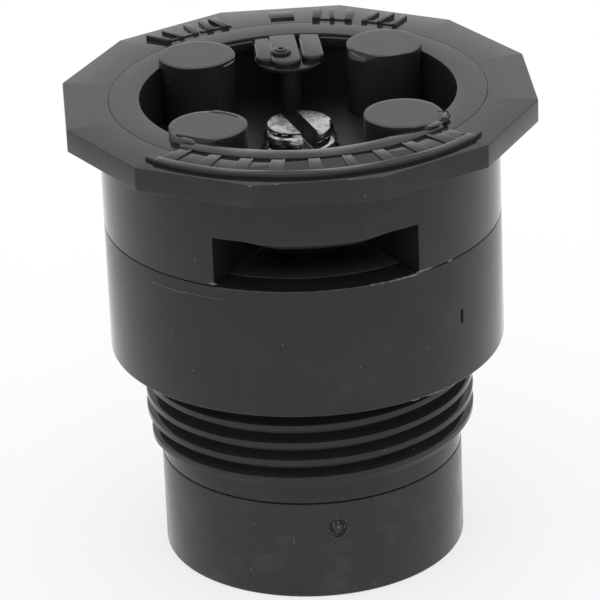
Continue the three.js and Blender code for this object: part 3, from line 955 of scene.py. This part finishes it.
def spider():
    bm = bmesh.new()
    outer = CUP_R - FIT
    low = CUP_FLOOR + FIT
    inner, high = outer - 0.8, PLATE_BOTTOM - FIT
    turned(bm, softened([(inner, low), (outer, low), (outer, high), (inner, high)], 0.08), 128)
    hub_in, hub_out = HUB_R + 0.15, HUB_R + 0.9
    hub = [(hub_in, SPOKE_LOW), (hub_out, SPOKE_LOW), (hub_out, SPOKE_HIGH), (hub_in, SPOKE_HIGH)]
    turned(bm, softened(hub, 0.08), 72)
    for i in range(6):
        spoke = sector(HUB_R + 0.5, outer - 0.4, i * 60 - SPOKE_HALF, i * 60 + SPOKE_HALF, 3)
        slab(bm, spoke, SPOKE_LOW, SPOKE_HIGH, 0.1)
    return bm


def seal():
    bm = bmesh.new()
    low, high = (corner.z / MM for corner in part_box("screw_seal"))
    inner = SCREW_R + RUNNING_GAP
    outline = [(inner, low), (SEAL_R - FIT, low), (SEAL_R - FIT, high), (inner, high)]
    turned(bm, softened(outline, 0.3, 6), 64)
    return bm


def plug():
    """Square head of the plug; its cone is added once the socket is bored."""
    bm = bmesh.new()
    half = PLUG_HALF
    outline = [(half, -half), (half, half), (-half, half), (-half, -half)]
    corners = [tuple(p) for p in softened(outline, 0.15)]
    slab(bm, corners, PLUG_SHOULDER_Z, PLUG_TOP, 0.08)
    return bm


def plug_socket():
    """Blind hole that the screw's tip turns in."""
    bm = bmesh.new()
    radius = SCREW_TIP_R + PLUG_PLAY
    slab(bm, arc(radius, 0, 352.5, 47), SCREW_TIP_Z - 0.3, PLUG_TOP + 1, 0.02)
    return bm


def plug_cone(bm):
    top = PLUG_SHOULDER_Z + 0.02
    side = [(0.0, PLUG_TIP_Z), (0.6, PLUG_TIP_Z), (1.7, PLUG_SHOULDER_Z), (1.7, top)]
    turned(bm, softened(side, 0.08, closed=False) + [(0.0, top)], 64)


# The orifice plate's top shows through the spray window; its lighter plastic is painted light there.
plate = piece("orifice_body", orifice(), "orifice_plate", materials=[inner_plastic])
cut(plate, orifice_cutter())
piece("washer_body", washer(), "compensating_disc", materials=[rubber])
piece("spider_body", spider(), "disc_retainer", materials=[inner_plastic])
piece("seal_body", seal(), "screw_seal", materials=[seal_rubber])
throttle = piece("plug_body", plug(), "throttle_plug", "throttle", [plug_plastic])
cut(throttle, plug_socket())
extend(throttle, plug_cone)

# ---- Adjusting screw ----


def screw_body():
    bm = bmesh.new()
    rows = int((SCREW_TOP - SCREW_THREAD_END) / SCREW_PITCH * 14)
    profile = [(0.0, SCREW_TIP_Z), (SCREW_TIP_R - 0.1, SCREW_TIP_Z), (SCREW_TIP_R, SCREW_TIP_Z + 0.1),
               (SCREW_TIP_R, SCREW_THREAD_END - 0.02)]
    thread_long = SCREW_TOP - SCREW_THREAD_END
    profile += [(SCREW_ROOT_R, SCREW_THREAD_END + thread_long * k / rows) for k in range(rows + 1)]
    profile += [(1.3, SCREW_TOP), (0.0, SCREW_TOP)]

    def shape(r, z, angle):
        if abs(r - SCREW_ROOT_R) > 0.001:
            return r, z
        turn = (z - SCREW_THREAD_END) / SCREW_PITCH - angle / TAU
        off = abs((turn % 1.0) - 0.5) * SCREW_PITCH
        share = smooth_step((0.27 - off) / 0.2)
        radius = SCREW_ROOT_R + (SCREW_R - SCREW_ROOT_R) * share
        limit = 1.5 + (SCREW_TOP - z) * 0.4
        return min(radius, limit), z

    turned(bm, profile, 72, shape)
    return bm


def slot_cutter():
    bm = bmesh.new()
    half = SLOT_WIDE / 2
    turn = math.radians(SLOT_TURN)
    cos, sin = math.cos(turn), math.sin(turn)
    outline = [(half, -3), (half, 3), (-half, 3), (-half, -3)]
    turned_outline = [(x * cos - y * sin, x * sin + y * cos) for x, y in outline]
    slab(bm, turned_outline, SCREW_TOP - SLOT_DEEP, SCREW_TOP + 1, 0.08)
    return bm


screw = piece("screw_body", screw_body(), "adjusting_screw", "screw", [screw_steel], sharp=45)
cut(screw, slot_cutter(), slot_steel)

# ---- Stage ----


def floor():
    mesh = bpy.data.meshes.new("floor")
    half = 1.5
    corners = [(-half, -half, 0), (half, -half, 0), (half, half, 0), (-half, half, 0)]
    mesh.from_pydata(corners, [], [(0, 1, 2, 3)])
    obj = bpy.data.objects.new("floor", mesh)
    bpy.context.scene.collection.objects.link(obj)
    material = bpy.data.materials.new("floor")
    material.use_nodes = True
    shader = material.node_tree.nodes["Principled BSDF"]
    shader.inputs["Base Color"].default_value = (0.35, 0.35, 0.35, 1)
    shader.inputs["Roughness"].default_value = 0.9
    shader.inputs["Specular IOR Level"].default_value = 0.0
    shader.inputs["Emission Color"].default_value = (1, 1, 1, 1)
    shader.inputs["Emission Strength"].default_value = 0.66
    mesh.materials.append(material)


def world():
    made = bpy.data.worlds.new("studio")
    made.use_nodes = True
    background = made.node_tree.nodes["Background"]
    background.inputs["Color"].default_value = (1.0, 1.0, 1.0, 1)
    background.inputs["Strength"].default_value = 1.0
    bpy.context.scene.world = made


def camera():
    azimuth, elevation, roll = (math.radians(x) for x in (CAMERA_AZIMUTH, CAMERA_ELEVATION, CAMERA_ROLL))
    back = Vector((math.sin(azimuth) * math.cos(elevation), -math.cos(azimuth) * math.cos(elevation),
                   math.sin(elevation)))
    right = Vector((math.cos(azimuth), math.sin(azimuth), 0))
    up = back.cross(right)
    place = Vector((0, 0, FLANGE_TOP)) + back * CAMERA_AWAY + right * CAMERA_RIGHT + up * CAMERA_UP
    x = right * math.cos(roll) + up * math.sin(roll)
    y = up * math.cos(roll) - right * math.sin(roll)
    data = bpy.data.cameras.new("camera")
    data.lens = CAMERA_LENS
    data.sensor_width = 36
    data.clip_start, data.clip_end = 0.01, 10
    obj = bpy.data.objects.new("camera", data)
    obj.matrix_world = Matrix(((x.x, y.x, back.x, place.x * MM), (x.y, y.y, back.y, place.y * MM),
                               (x.z, y.z, back.z, place.z * MM), (0, 0, 0, 1)))
    bpy.context.scene.collection.objects.link(obj)
    bpy.context.scene.camera = obj


floor()
world()
camera()
bpy.context.scene.view_settings.view_transform = "Standard"
